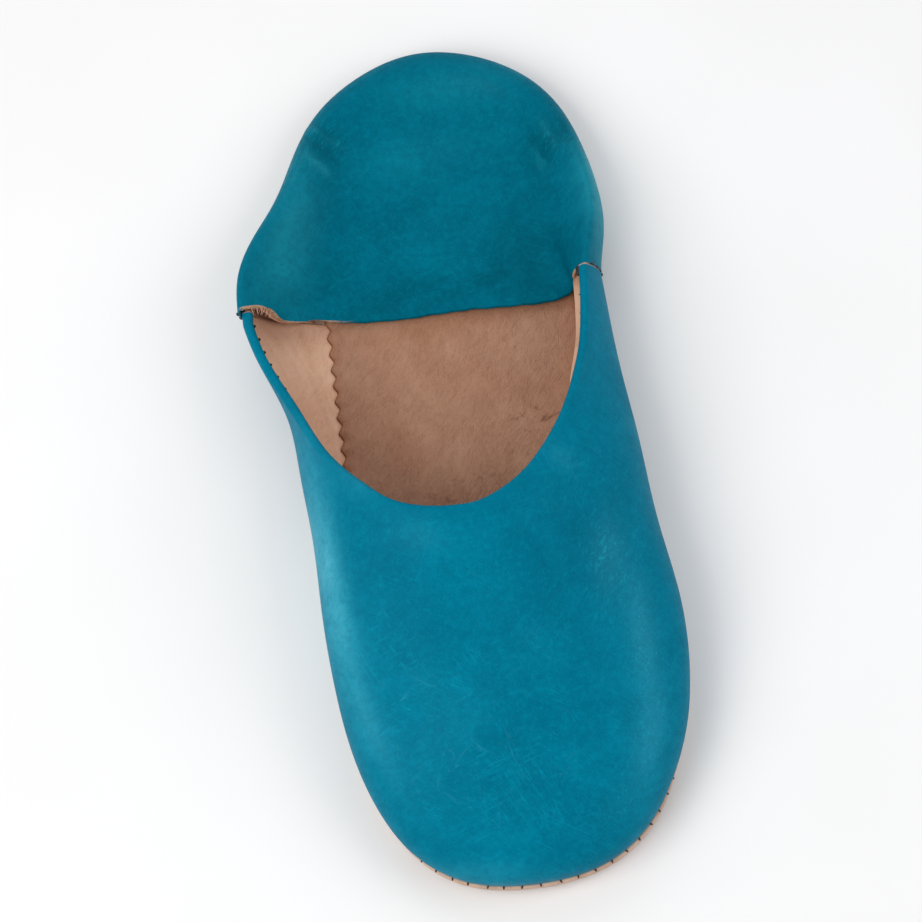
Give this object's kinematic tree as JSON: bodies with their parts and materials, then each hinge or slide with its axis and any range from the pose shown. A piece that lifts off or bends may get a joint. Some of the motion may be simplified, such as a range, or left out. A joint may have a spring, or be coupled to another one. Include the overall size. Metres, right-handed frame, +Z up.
{
  "type": "babouche slipper",
  "caption": "Soft leather slipper for the right foot: hollow vamp on a flat leather sole, open collar, heel quarter folded flat on the insole.",
  "frame": {"origin": "on the ground under the middle of the sole's length, on the axis of the heel", "axes": "-Y points to the toe, +X to the big-toe side, +Z up; the sole rests on Z = 0"},
  "size_m": [0.1139, 0.2575, 0.0456],
  "materials": {
    "sole_leather": "natural vegetable-tanned sole leather, matte, with a cut edge",
    "lining_leather": "undyed pinkish tan lining leather, matte, slightly stained",
    "vamp_leather": "turquoise dyed leather with a soft satin gloss and cloudy dye",
    "quarter_leather": "darker teal dyed leather, matte"
  },
  "bodies": {
    "root": {"outsole": "sole_leather", "insole": "lining_leather", "vamp": "vamp_leather", "heel_quarter": "quarter_leather"}
  },
  "joints": []
}
